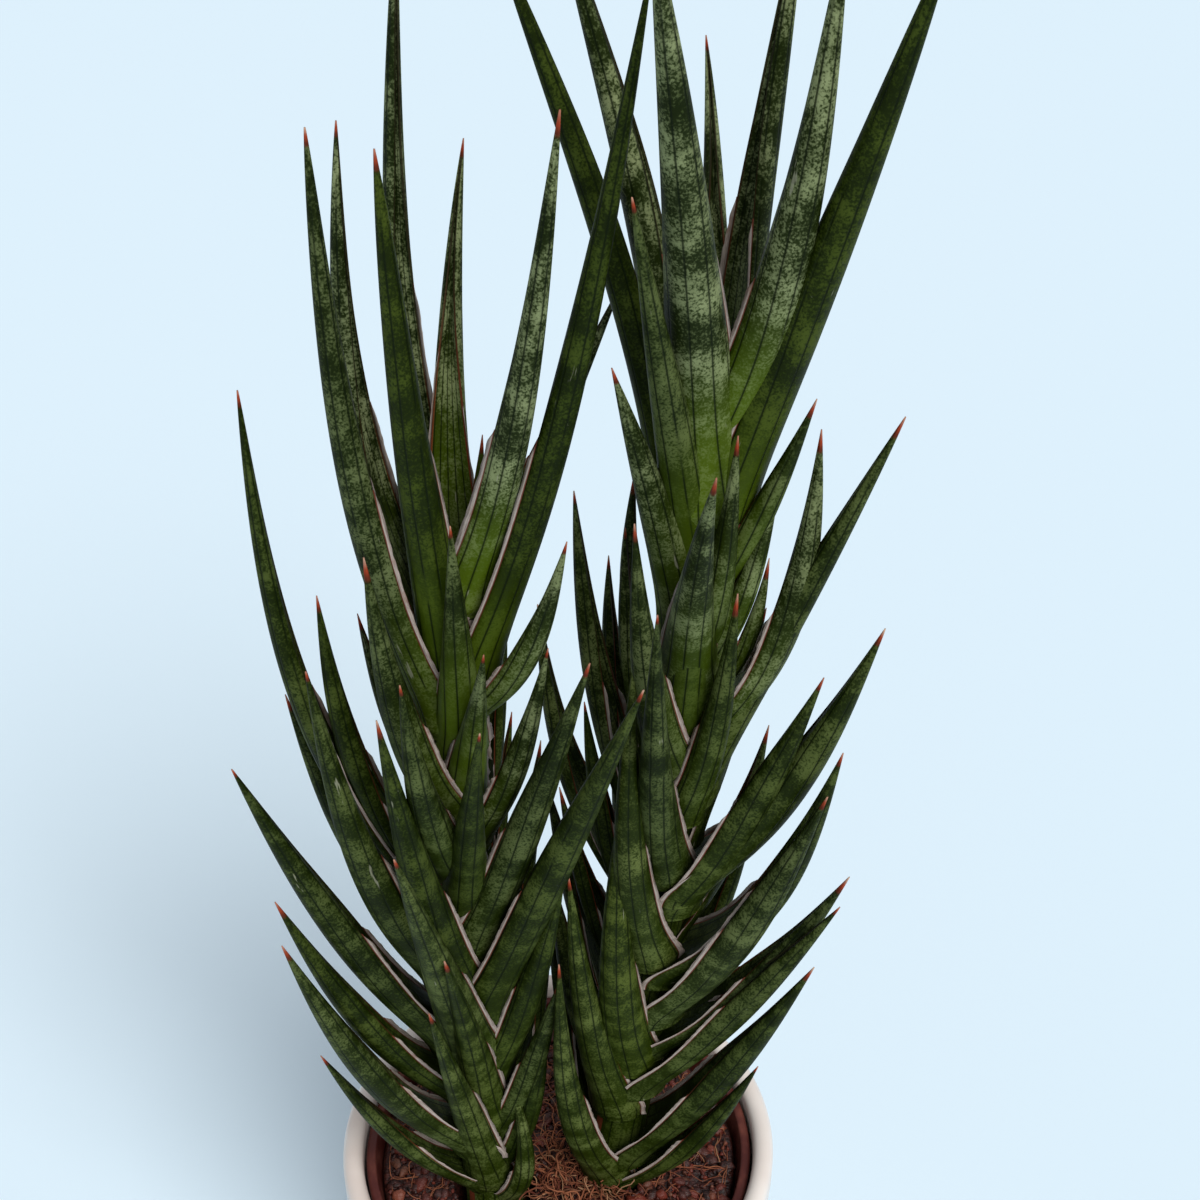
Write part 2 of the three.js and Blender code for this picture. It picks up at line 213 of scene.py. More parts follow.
leafForm = {
    "pitch": 5.35,            # height between one root and the next
    "rootOffset": 2,          # the root's distance from the stem's axis
    "steps": 31,              # steps that the middle line is summed up in
    "uprightLength": 0.06,    # share of the length over which the leaf leaves the upright
    "usualTaper": 0.8, "sheathShare": 0.42, "sheathLength": 0.13,
    "openHalfAngle": 84, "closedHalfAngle": 168, "closingFrom": 0.12, "closingTo": 0.82,
    "wallShare": 0.75, "wallBase": 2, "wallGrowth": 0.55,
    "edgeThickness": 0.35, "edgeShare": 0.4,
    "lowestNarrowing": 0.8, "narrowingStep": 0.05,
    "rootTuck": 0.24, "tuckLength": 7,
    "spineRadius": 0.15, "tipRadius": 0.1, "tipJoin": 4,
    "tipSlimness": 0.1,       # radius gained for each millimetre back from the very tip
    "lastShare": 0.994,       # the rounded tip ends just inside the solid one
    "stations": 62, "evenStations": 0.55, "crowdedStations": 0.45,
    "outerPoints": 19, "innerPoints": 11,
}

# A row for each leaf from the lowest up: the turn from the front (positive to the right), the length,
# the lean from upright at the root and at the tip, the sideways swing and the breadth round the root.
# A seventh number is the taper's power, lower than usual for a leaf that keeps its width.
# A lone number is the turn of a leaf of the usual form at the back of the stem. The axis bends through
# points given as height above the pot's rim, x and y. The lists under the leaves name rows by their place.
backLeaf = {"length": 80, "growth": 0.65, "rootLean": 50, "tipLean": 16, "breadth": 24}
stems = {
    "left": {
        "axis": [(-30, -19, -12), (0, -19.5, -12), (80, -24, -13), (150, -23, -13), (200, -21.5, -12),
                 (245, -21, -12)],
        "firstRoot": -10,
        "leaves": [
            [40, 65, 65, -15, 10, 24], [-60, 95, 60, 20, -10, 24], [-18, 110, 25, 15, -5, 26],
            [60, 70, 38, 8, 0, 28], [145, 85, 50, 12, 0, 34], [-50, 130, 55, 15, -10, 30],
            [60, 80, 36, 12, 0, 28], [-2, 110, 20, 20, -10, 24], -150, [-57, 116, 55, 17, -10, 28],
            [110, 88, 32, 10, 0, 28, 0.6], [60, 95, 34, 12, 0, 28], [-10, 135, 30, 20, -5, 28],
            [-60, 137, 45, 17, -10, 32], [145, 90, 50, 12, 0, 32], -130, [55, 150, 30, 20, 0, 30],
            [-20, 130, 30, 10, -5, 28], [-45, 138, 45, 6, 0, 28], [-100, 100, 60, 12, 0, 24],
            [150, 70, 40, 15, 0, 24], [50, 125, 30, 18, 0, 28], [-85, 175, 48, 0, 2, 20],
            [10, 100, 30, 20, 10, 24], [-80, 108, 50, 2, 0, 24], 175, [-15, 95, 50, 10, 5, 28],
            [140, 65, 35, 10, 0, 24], [55, 80, 45, 12, 0, 22], [-110, 65, 50, 10, 0, 20],
            [-40, 95, 40, 5, 5, 28], [20, 70, 35, 20, 0, 26], -160, [150, 60, 30, 10, 0, 22],
            [10, 80, 35, 5, -5, 26, 0.6], [-57, 163, 30, 0, 5, 20, 0.7], [50, 75, 65, 15, 0, 24],
            [60, 190, 30, 10, 0, 20], [-20, 145, 20, 5, 5, 20, 0.6], [-110, 135, 40, -5, 0, 20],
            [110, 95, 30, 25, 0, 18], [-145, 165, 30, -10, 0, 18], [42, 138, 35, 10, 0, 20],
            [95, 40, 20, 5, 0, 14], [180, 97, 0, 25, -16, 18],
        ],
        "pale": [0, 2, 7, 12], "silvery": [39, 41, 42, 44], "smooth": [37, 38], "young": [31, 34, 42],
        "seed": 11,
    },
    "right": {
        "axis": [(-30, 16, -4), (0, 17, -4), (80, 27, -4), (130, 32, -4), (200, 36, -4), (275, 37.5, -4)],
        "firstRoot": -14,
        "leaves": [
            [60, 90, 60, 20, 5, 30], [-28, 120, 45, 0, -15, 28], 160, [62, 118, 50, 22, 10, 42],
            [-125, 85, 36, 8, 0, 30, 0.6], [140, 80, 40, 15, 0, 24], -160, [-35, 115, 30, 5, -5, 25],
            [-105, 85, 34, 6, 0, 30, 0.6], [62, 108, 50, 27, 15, 42, 0.7], 175, [-15, 115, 35, -5, -15, 30],
            [72, 101, 67, 23, 1, 42, 0.6], [-125, 85, 45, 12, 0, 30], [115, 75, 60, 15, 0, 30, 0.5],
            [57, 114, 51, 17, 6, 50, 0.5], [-105, 75, 40, 10, 0, 22], -165, [65, 111, 66, 12, -4, 46, 0.5],
            [-20, 120, 40, -5, -10, 24], [110, 75, 60, 10, 0, 30, 0.5], [-95, 80, 35, 5, 0, 22],
            [-120, 100, 65, 5, 0, 24], [57, 100, 43, 17, 11, 46, 0.5], [69, 113, 56, 17, 2, 48, 0.5],
            [-15, 115, 35, 10, 15, 24], [-115, 112, 38, 4, 0, 24], [105, 75, 30, 12, 0, 26],
            [-135, 80, 60, 0, 0, 24], [35, 85, 35, 5, 0, 24], [75, 130, 28, 20, 0, 24],
            [-120, 75, 40, 0, 0, 20], [-30, 93, 40, 6, 0, 24], [-130, 80, 50, -5, 0, 20],
            [75, 100, 58, 0, 0, 34], [0, 90, 20, 20, 10, 24], [75, 50, 60, 5, 0, 20],
            [-5, 95, 30, 25, 15, 28], [55, 65, 40, 10, 0, 24], [20, 75, 40, 5, 0, 22],
            [-42, 90, 20, 20, 0, 24, 0.6], 175, [52, 70, 40, 18, 0, 24], [-80, 160, 8, 20, 0, 22, 0.7],
            [-25, 115, 25, 20, 0, 22], [50, 160, 25, 17, -5, 25, 0.65], [-100, 145, 5, 17, 0, 24, 0.7],
            [-10, 155, 20, 20, -15, 30, 0.7], [170, 100, 30, 30, 20, 20], [120, 130, 10, 7, 0, 22],
            [35, 130, 40, 5, 0, 28],
        ],
        "pale": [1, 7, 11, 19], "silvery": [46, 47, 48, 49, 50], "smooth": [43, 45], "young": [47, 50],
        "seed": 23,
    },
}


def leafRows(stem):
    # The chart as an array of turn, length, root lean, tip lean, swing, breadth and taper
    rows = []
    for order, row in enumerate(stem["leaves"]):
        if not isinstance(row, list):
            length = backLeaf["length"] + backLeaf["growth"] * order
            row = [row, length, backLeaf["rootLean"], backLeaf["tipLean"], 0, backLeaf["breadth"]]
        rows.append(row + [leafForm["usualTaper"]] * (7 - len(row)))
    return np.array(rows, dtype=float)


def axisPoints(stem, height):
    # Points on the stem's axis at heights above the pot's rim, straight between the bends
    bends = np.array(stem["axis"])
    x = np.interp(height, bends[:, 0], bends[:, 1])
    y = np.interp(height, bends[:, 0], bends[:, 2])
    return np.stack([x, y, rimHeight + height], -1)


def leafFrames(stem, share):
    # Sideways, inward and along directions of every leaf at shares of its length. The lean eases with
    # the square of what is left from root to tip, and rises from upright within a few millimetres.
    rows = leafRows(stem)
    turn, rootLean, tipLean, swing = (rows[:, k, None] for k in (0, 2, 3, 4))
    lean = np.radians((tipLean + (rootLean - tipLean) * (1 - share) ** 2)
                      * (1 - np.exp(-share / leafForm["uprightLength"])))
    facing = np.radians(turn + swing * share)
    flat = np.zeros_like(facing)
    out = np.stack([np.sin(facing), -np.cos(facing), flat], -1)
    side = np.stack([np.cos(facing), np.sin(facing), flat], -1)
    up = np.array([0.0, 0.0, 1.0])
    along = np.sin(lean)[..., None] * out + np.cos(lean)[..., None] * up
    inward = -np.cos(lean)[..., None] * out + np.sin(lean)[..., None] * up
    return out, side, along, inward


def leafCentres(stem, share):
    # Middle lines: the along direction summed up in equal steps from the stem's axis, and a cubic
    # curve through those steps that keeps their directions.
    form, steps = leafForm, leafForm["steps"]
    knots = np.linspace(0, 1, steps + 1)[None]
    rows = leafRows(stem)
    out, _, along, _ = leafFrames(stem, knots)
    roots = axisPoints(stem, stem["firstRoot"] + form["pitch"] * np.arange(len(rows)))
    stepLength = rows[:, 1, None, None] / steps
    moves = (along[:, 1:] + along[:, :-1]) / 2 * stepLength
    path = (roots + form["rootOffset"] * out[:, 0])[:, None] + np.concatenate(
        [np.zeros_like(moves[:, :1]), np.cumsum(moves, 1)], 1)
    place = np.broadcast_to(share, (len(rows), share.shape[-1])) * steps
    first = np.clip(place.astype(int), 0, steps - 1)
    f = (place - first)[..., None]
    leaf = np.arange(len(rows))[:, None]
    startPoint, endPoint = path[leaf, first], path[leaf, first + 1]
    startWay, endWay = along[leaf, first] * stepLength, along[leaf, first + 1] * stepLength
    return ((2 * f**3 - 3 * f**2 + 1) * startPoint + (f**3 - 2 * f**2 + f) * startWay
            + (3 * f**2 - 2 * f**3) * endPoint + (f**3 - f**2) * endWay)


def leafRadii(stem, share):
    # Section radius: a sheath that dies away from the root, a steady taper, and a slim cone at the tip,
    # drawn in over the first millimetres so that the root's lower rim lies on the stem.
    # The half angle is how far the outer face wraps round: an open trough at the root, a slit further up.
    form, rows = leafForm, leafRows(stem)
    length, breadth, taper = (rows[:, k, None] for k in (1, 5, 6))
    narrowing = np.minimum(1, form["lowestNarrowing"] + form["narrowingStep"] * np.arange(len(rows)))[:, None]
    sheath = form["sheathShare"] * np.exp(-share / form["sheathLength"])
    swell = sheath + (1 - form["sheathShare"]) * (1 - share) ** taper
    radius = breadth / 2 * narrowing * swell + form["spineRadius"]
    radius = radius * (1 - form["rootTuck"] * (1 - smoothStep(share * length, 0, form["tuckLength"])))
    cone = form["tipRadius"] + form["tipSlimness"] * (1 - share) * length
    join = form["tipJoin"]
    radius = (radius**-join + cone**-join) ** (-1 / join)
    closed = smoothStep(share, form["closingFrom"], form["closingTo"])
    halfAngle = form["openHalfAngle"] + (form["closedHalfAngle"] - form["openHalfAngle"]) * closed
    return radius, np.broadcast_to(np.radians(halfAngle), radius.shape)


def leafStations(count):
    # Shares of the length, closer together near the root and the tip
    even = np.linspace(0, 1, count)
    crowded = (1 - np.cos(np.pi * even)) / 2
    share = leafForm["evenStations"] * even + leafForm["crowdedStations"] * crowded
    return leafForm["lastShare"] * share[None]


leafLooks = {                 # least value and random range
    "tone": (0.25, 0.3), "paleTone": (0.85, 0.15),
    "silver": (0.08, 0.2), "upperSilver": 0.6, "upperFrom": 0.6,
    "silverySilver": (0.8, 0.2), "smoothSilver": 0.05,
    "youngMost": 0.55, "youngLeast": 0.08, "youngFrom": 0.45, "youngTo": 0.9,
    "bandPitch": (8, 6), "bandGrowth": 8, "spine": (3, 4),
}


def leafKinds(stem, rng):
    # What differs from leaf to leaf: tone, silver speckle, young yellow-green root, band pitch and spine
    look, count = leafLooks, len(stem["leaves"])
    rise = np.arange(count) / count
    tone = drawn(rng, look["tone"], count)
    tone[stem["pale"]] = drawn(rng, look["paleTone"], len(stem["pale"]))
    upper = look["upperSilver"] * (rise > look["upperFrom"])
    silver = np.clip(drawn(rng, look["silver"], count) + upper * rng.random(count), 0, 1)
    silver[stem["silvery"]] = drawn(rng, look["silverySilver"], len(stem["silvery"]))
    silver[stem["smooth"]] = look["smoothSilver"]
    young = look["youngLeast"] + look["youngMost"] * smoothStep(rise, look["youngFrom"], look["youngTo"])
    young[stem["young"]] = 1.0
    return {
        "tone": tone, "silver": silver, "young": young,
        "bandPitch": drawn(rng, look["bandPitch"], count) + look["bandGrowth"] * rise,
        "spine": drawn(rng, look["spine"], count),
        "identity": rng.random(count), "paleTip": rng.random(count) ** 2,
    }


def onCurve(centre, side, inward, radius, angle):
    # Points at an angle round the outer face, from the middle line by the radius
    across, deep = radius * np.sin(angle), radius * np.cos(angle)
    return centre + side * across[..., None] - inward * deep[..., None]


def leafSections(stem, share):
    # Rings of every leaf: the round outer face from edge to edge, then back across the groove
    centre = leafCentres(stem, share)
    _, side, _, inward = leafFrames(stem, share)
    radius, half = leafRadii(stem, share)
    centre, side, inward = centre[:, :, None], side[:, :, None], inward[:, :, None]
    u = np.linspace(-1, 1, leafForm["outerPoints"])
    v = np.linspace(1, -1, leafForm["innerPoints"])
    outer = onCurve(centre, side, inward, radius[..., None], half[..., None] * u)
    depth = radius * (1 - np.cos(half))
    wall = leafForm["wallBase"] + leafForm["wallGrowth"] * radius
    thickness = np.minimum(leafForm["wallShare"] * depth, wall)
    dip = (depth - thickness)[..., None] * (1 - v**2)
    rim = np.minimum(leafForm["edgeThickness"], leafForm["edgeShare"] * radius)
    reach = (radius - rim)[..., None]
    inner = (centre + side * (reach * np.sin(half)[..., None] * v)[..., None]
             + inward * (-reach * np.cos(half)[..., None] - dip)[..., None])
    return np.concatenate([outer, inner], 2), u, v, radius, half


def leafMarks(stem, share, kinds, u, v, radius, half):
    # The numbers that the leaf's finish reads, on every point of the rings
    length = leafRows(stem)[:, 1, None]
    across = np.concatenate([u, v])
    size = (len(length), share.shape[-1], len(across))
    kind = {name: values[:, None, None] for name, values in kinds.items()}

    def stacked(*values):
        return np.stack([np.broadcast_to(value, size) for value in values], -1)

    return {
        "leafPlace": stacked(across, (share * length)[..., None], ((1 - share) * length)[..., None]),
        "leafSide": stacked((radius * half)[..., None], 0, kind["identity"]),
        "leafKind": stacked(kind["tone"], kind["silver"], kind["young"]),
        "leafRhythm": stacked(kind["bandPitch"], kind["spine"], kind["paleTip"]),
    }


# Pairs of tints are for the darkest and the palest leaf, and a tint's fourth number is its strength.
# Ranges are where a mark starts and is full.
skinLook = {
    "deep": ((14, 23, 0), (27, 38, 0)),
    "middle": ((24, 38, 0), (41, 53, 2)),
    "light": ((41, 56, 0), (68, 81, 8)),
    "silverLight": (152, 162, 118, 0.85), "silverMiddle": (82, 95, 56, 0.4),
    "young": (88, 110, 14, 0.7), "youngRange": (14, 60),
    "line": (11, 21, 2, 0.85), "lineCore": (0.1, 0.32), "lineHalo": (0.15, 0.8),
    "haloStrength": 0.25, "lineEnd": (8, 26), "lineBreaks": (0.28, 0.4), "breakLength": 26,
    "lanes": 2.6, "wander": 0.25, "wanderLength": 70,
    "bandRange": (0.28, 0.74), "bandTilt": 0.28, "bandStep": 0.06,
    "fineScale": 1700, "coarseScale": 640, "stippleRange": (0.5, 0.72), "bandInStipple": 0.2,
    "dust": (140, 146, 112, 0.25), "dustScale": 420, "dustRange": (0.68, 0.76),
    "scar": (150, 150, 128, 0.6), "scarLength": 22, "scarRange": (0.7, 0.74),
    "edge": (40, 36, 20), "rootEdge": (112, 54, 34), "edgeRange": (0.12, 0.35), "rootRange": (25, 75),
    "spineFoot": (92, 40, 24, 1), "spine": (150, 60, 34, 1), "spineTip": (200, 172, 148, 1),
    "roughness": 0.52, "stippleRoughness": 0.12, "relief": 0.12,
}


def leafFinish():
    # Dark green skin. Soft cross bands carried by a fine stipple, three to five long dark lines down the
    # outer face, yellow-green at the root of a young leaf, a thin brown edge, and a spine that goes from
    # dark red through orange-brown to pale.
    look = skinLook
    material, tree, shader = newFinish("leafSkin", 0.5, 0.07)
    across, alongLeaf, toTip = marked(tree, "leafPlace")
    width, _, identity = marked(tree, "leafSide")
    tone, silver, young = marked(tree, "leafKind")
    bandPitch, spine, paleTip = marked(tree, "leafRhythm")
    place = objectPlace(tree)
    shift = times(tree, identity, 57.0)

    def painted(under, share, name):
        *colour, strength = look[name]
        return blend(tree, times(tree, share, strength), under, tint(*colour))

    def toned(name):
        return blend(tree, tone, tint(*look[name][0]), tint(*look[name][1]))

    def fading(value, full, gone):
        return between(tree, value, full, gone, 1.0, 0.0)

    # long dark lines that keep their share of the width
    wanderPlace = vectorOf(tree, identity, over(tree, alongLeaf, look["wanderLength"]), shift)
    wander = noise(tree, wanderPlace, 1.0, 1.0)
    offset = calc(tree, "MULTIPLY_ADD", wander, look["wander"], identity)
    lanes = calc(tree, "MULTIPLY_ADD", across, look["lanes"], offset)
    lane = calc(tree, "FLOOR", lanes)
    fromMiddle = calc(tree, "ABSOLUTE", calc(tree, "SUBTRACT", calc(tree, "FRACT", lanes), 0.5))
    fromLine = times(tree, fromMiddle, over(tree, width, look["lanes"]))
    breakPlace = vectorOf(tree, times(tree, lane, 3.7), over(tree, alongLeaf, look["breakLength"]), shift)
    unbroken = between(tree, noise(tree, breakPlace, 1.0, 2.0), *look["lineBreaks"])
    lineCore = times(tree, fading(fromLine, *look["lineCore"]), unbroken)
    halo = times(tree, fading(fromLine, *look["lineHalo"]), look["haloStrength"])
    line = times(tree, calc(tree, "MAXIMUM", lineCore, halo), between(tree, toTip, *look["lineEnd"]))
    # bands across the leaf
    bandAcross = calc(tree, "MULTIPLY_ADD", lane, look["bandStep"], times(tree, across, look["bandTilt"]))
    bandPlace = vectorOf(tree, bandAcross, over(tree, alongLeaf, bandPitch), shift)
    level = between(tree, noise(tree, bandPlace, 1.5, 3.0, 0.6), *look["bandRange"])
    # stipple
    fine = noise(tree, place, look["fineScale"], 1.5, 0.6)
    coarse = noise(tree, place, look["coarseScale"], 2.0, 0.6)
    grain = calc(tree, "MULTIPLY_ADD", fine, 0.7, times(tree, coarse, 0.3))
    speckle = calc(tree, "MULTIPLY_ADD", level, look["bandInStipple"], grain)
    stipple = between(tree, speckle, *look["stippleRange"])
    light = painted(toned("light"), silver, "silverLight")
    middle = painted(toned("middle"), silver, "silverMiddle")
    under = blend(tree, times(tree, level, 0.6), toned("deep"), middle)
    skin = blend(tree, stipple, under, blend(tree, level, middle, light))
    # young root, then the lines over it
    rootShare = times(tree, fading(alongLeaf, *look["youngRange"]), young)
    skin = painted(skin, rootShare, "young")
    skin = painted(skin, line, "line")
    # pale dust and scuffs
    dust = between(tree, noise(tree, place, look["dustScale"], 4.0, 0.75), *look["dustRange"])
    skin = painted(skin, dust, "dust")
    # a few long silvery scars
    scarPlace = vectorOf(tree, times(tree, across, 3.0), over(tree, alongLeaf, look["scarLength"]), shift)
    scar = between(tree, noise(tree, scarPlace, 1.0, 3.0, 0.65), *look["scarRange"])
    skin = painted(skin, scar, "scar")
    # brown edge, redder towards the root
    inside = calc(tree, "SUBTRACT", 1.0, calc(tree, "ABSOLUTE", across))
    edge = fading(times(tree, inside, width), *look["edgeRange"])
    nearRoot = fading(alongLeaf, *look["rootRange"])
    edgeShade = blend(tree, nearRoot, tint(*look["edge"]), tint(*look["rootEdge"]))
    skin = blend(tree, times(tree, edge, 0.9), skin, edgeShade)
    # spine, by how far back from the tip a point lies as a share of the spine's length
    ended = over(tree, toTip, spine)
    skin = painted(skin, fading(ended, 0.9, 1.1), "spineFoot")
    skin = painted(skin, fading(ended, 0.55, 0.9), "spine")
    paleness = calc(tree, "MULTIPLY_ADD", paleTip, 0.7, 0.3)
    skin = painted(skin, times(tree, fading(ended, 0.1, 0.6), paleness), "spineTip")
    rough = calc(tree, "MULTIPLY_ADD", stipple, look["stippleRoughness"], look["roughness"])
    height = calc(tree, "MULTIPLY_ADD", lineCore, -0.8, times(tree, grain, 0.8))
    coverWith(tree, shader, skin, height, look["relief"], rough)
    return material


def makeLeaves(stemName, material):
    stem = stems[stemName]
    rng = np.random.default_rng(stem["seed"])
    share = leafStations(leafForm["stations"])
    grid, u, v, radius, half = leafSections(stem, share)
    kinds = leafKinds(stem, rng)
    marks = leafMarks(stem, share, kinds, u, v, radius, half)
    grid, marks = addCore(stem, grid, marks)
    quads, fans = tubeFaces(len(grid), grid.shape[1], grid.shape[2])
    marks = {markName: tubePoints(values) for markName, values in marks.items()}
    name = "leaves" + stemName.capitalize()
    makePiece(name, tubePoints(grid), quads, fans, material, marks, "leafy_stem_" + stemName)


core = {"foot": -28.2, "footRadius": 9.5, "rimRadius": 9.0, "topRadius": 4.5}


def addCore(stem, grid, marks):
    # The stem inside the leaves: a round bar along the axis from the foot of its hole to the top root
    top = stem["firstRoot"] + leafForm["pitch"] * (len(stem["leaves"]) - 1)
    heights = np.linspace(core["foot"], top, grid.shape[1])
    radii = [core["footRadius"], core["rimRadius"], core["topRadius"]]
    radius = np.interp(heights, [core["foot"], 0, top], radii)[:, None]
    bar = axisPoints(stem, heights)[:, None] + ringPoints(radius, 0, grid.shape[2])
    grid = np.concatenate([grid, bar[None]])
    return grid, {name: np.concatenate([values, values[:1]]) for name, values in marks.items()}


# Papery edges

edgeForm = {
    "stations": 150,
    "reach": 0.46,            # share of the leaf that carries a papery edge
    "band": 1.05,             # usual width
    "narrowing": 0.25, "endFrom": 0.93, "leastWidth": 0.12,
    "variety": (0.85, 0.3), "flare": 0.7, "flareLength": 0.075, "flareVariety": (0.6, 0.8),
    "thickness": 0.2, "rimShare": 0.3, "rooted": 0.25,
    "lift": 38,               # degrees off the leaf's own curve
    # strength and number of knots
    "fineRagged": (0.12, 40), "ragged": (0.1, 14), "liftChange": (14, 9),
    "paper": ((136, 122, 114), (178, 165, 156)), "stain": (146, 112, 98), "blade": (98, 46, 28),
    "bladeLine": (0.24, 0.42),
}


def smoothNoise(rng, count, stations, knots):
    # Random values at evenly spaced knots, joined by smooth S curves: one row for each of count
    values = rng.random((count, knots + 1)) * 2 - 1
    place = np.linspace(0, knots - 1e-6, stations)
    first = place.astype(int)
    share = smoothStep(place - first, 0, 1)
    return values[:, first] * (1 - share) + values[:, first + 1] * share


def makePaperyEdges(stemName, material):
    # A thin strip along both edges of every leaf, from the root to less than half its length. It goes on
    # from the outer face's curve, lifted a little, wide where it clasps the stem and ragged at its rim.
    stem = stems[stemName]
    rng = np.random.default_rng(stem["seed"] + 100)
    rows = leafRows(stem)
    form = edgeForm
    count, stations = len(rows), form["stations"]
    even = np.linspace(0, 1, stations)[None]
    strips, places = [], []

    def wave(name):
        strength, knots = form[name]
        return strength * smoothNoise(rng, count, stations, knots)

    for hand in (-1, 1):
        share = even * (form["reach"] * drawn(rng, form["variety"], (count, 1)))
        _, side, _, inward = leafFrames(stem, share)
        radius, half = leafRadii(stem, share)
        angle = half * hand
        edge = onCurve(leafCentres(stem, share), side, inward, radius, angle)
        outward = side * np.sin(angle)[..., None] - inward * np.cos(angle)[..., None]
        onward = hand * (side * np.cos(angle)[..., None] + inward * np.sin(angle)[..., None])
        flare = form["flare"] * drawn(rng, form["flareVariety"], (count, 1))
        flare = flare * np.exp(-share / form["flareLength"])
        ragged = wave("fineRagged") + wave("ragged")
        band = form["band"] * drawn(rng, form["variety"], (count, 1))
        pointed = (1 - form["narrowing"] * even) * (1 - smoothStep(even, form["endFrom"], 1.0))
        width = (flare + band * pointed) * (1 + ragged) + form["leastWidth"]
        lift = np.radians(form["lift"] + wave("liftChange"))[..., None]
        onward = onward * np.cos(lift) + outward * np.sin(lift)
        start = edge - onward * form["rooted"]
        tip = edge + onward * width[..., None]
        thick = outward * form["thickness"] / 2
        rim = thick * form["rimShare"]
        # the order turns with the hand, so that faces point outwards on both edges
        ring = [start + thick, tip + rim, tip - rim, start - thick][::hand]
        strips.append(np.stack(ring, 2))
        fromBlade = np.stack([0 * width, width, width, 0 * width][::hand], -1)
        identity = np.broadcast_to(rng.random((count, 1, 1)), fromBlade.shape)
        alongLeaf = np.broadcast_to((share * rows[:, 1, None])[..., None], fromBlade.shape)
        places.append(np.stack([fromBlade, alongLeaf, identity], -1))
    grid, place = np.concatenate(strips), np.concatenate(places)
    quads, fans = tubeFaces(len(grid), stations, 4)
    name = "paperyEdges" + stemName.capitalize()
    makePiece(name, tubePoints(grid), quads, fans, material, {"edgePlace": tubePoints(place)})


def paperyFinish():
    # Grey-pink paper with fine fibres along it and a red-brown line where it leaves the green
    material, tree, shader = newFinish("paperyEdge", 0.75, 0.3)
    fromBlade, alongLeaf, identity = marked(tree, "edgePlace")
    place = objectPlace(tree)
    fibrePlace = vectorOf(tree, times(tree, fromBlade, 3.5), over(tree, alongLeaf, 5.0),
                          times(tree, identity, 31.0))
    fibres = noise(tree, fibrePlace, 1.0, 3.0, 0.6)
    patches = noise(tree, place, 180.0, 3.0, 0.6)
    darkPaper, palePaper = edgeForm["paper"]
    paper = blend(tree, between(tree, fibres, 0.3, 0.6), tint(*darkPaper), tint(*palePaper))
    stained = times(tree, between(tree, patches, 0.55, 0.72), 0.6)
    paper = blend(tree, stained, paper, tint(*edgeForm["stain"]))
    away = calc(tree, "MULTIPLY_ADD", patches, 0.2, fromBlade)
    lineShare = between(tree, away, *edgeForm["bladeLine"], 1.0, 0.0)
    paper = blend(tree, lineShare, paper, tint(*edgeForm["blade"]))
    coverWith(tree, shader, paper, fibres, 0.15)
    return material


# Pots

def makeTurned(name, profile, sides, material, replaced):
    # A profile of radii and heights turned about the upright axis, closed flat at both its ends by a
    # point that lies on the axis itself
    rings = ringPoints(profile[:, :1], profile[:, 1:], sides)
    poles = [[0, 0, profile[0, 1]], [0, 0, profile[-1, 1]]]
    quads, fans = tubeFaces(1, len(profile), sides)
    points = np.concatenate([rings.reshape(-1, 3), poles])
    return makePiece(name, points, quads, fans, material, None, replaced)


def arc(x, z, radius, start, end, count):
    # Points of a round corner about x, z from one angle to another, in degrees
    angle = np.radians(np.linspace(start, end, count))
    return np.column_stack([x + radius * np.cos(angle), z + radius * np.sin(angle)])


coverPot = {
    "rimRadius": coverBox[1][0], "innerRadius": 60.8, "lipHeight": 10, "lipStep": 2.2,
    "lipHollow": 0.9, "lipRound": 1.3, "insideDrop": 5, "insideTaper": 0.3,
    "footRadius": 47, "footRound": 3.5, "wall": 4.2, "wallRings": 14,
    "floor": 6, "floorRound": 2, "floorRing": 20, "sides": 192,
    "wallEnd": 2.2, "hollowDrop": 1.4, "lipRise": 0.8,    # from the lip's lower edge
    "glaze": (236, 228, 221), "cloud": (222, 208, 199), "speck": (170, 145, 130),
}


def makeCoverPot(material):
    # Tapered wall with a rounded foot, a lip that stands out, and a fully rounded rim
    p = coverPot
    footRound, hollow, lipRound = p["footRound"], p["lipHollow"], p["lipRound"]
    lipBottom = rimHeight - p["lipHeight"]
    wallTop = p["rimRadius"] - p["lipStep"]
    rimRound = (p["rimRadius"] - p["innerRadius"]) / 2
    foot = arc(p["footRadius"], footRound, footRound, -90, -3, 9)
    rise = np.arange(1, p["wallRings"] + 1) / p["wallRings"]
    wallFoot = p["footRadius"] + footRound
    wall = np.column_stack([wallFoot + (wallTop - wallFoot) * rise,
                            footRound + (lipBottom - p["wallEnd"] - footRound) * rise])
    lip = np.vstack([arc(wallTop + hollow, lipBottom - p["hollowDrop"], hollow, 180, 95, 5),
                     arc(p["rimRadius"] - lipRound, lipBottom + p["lipRise"], lipRound, -80, 0, 7)])
    rim = arc(p["rimRadius"] - rimRound, rimHeight - rimRound, rimRound, 0, 180, 21)
    inside = [(p["innerRadius"], lipBottom),
              (p["innerRadius"] - p["insideTaper"], lipBottom - p["insideDrop"])]
    floorRound = p["floorRound"]
    floor = arc(wallFoot - p["wall"] - floorRound, p["floor"] + floorRound, floorRound, 0, -90, 6)
    underside, middle = [(p["footRadius"] * 0.5, 0)], [(p["floorRing"], p["floor"])]
    profile = np.vstack([underside, foot, wall, lip, rim, inside, floor, middle])
    makeTurned("coverPot", profile, p["sides"], material, "cover_pot")


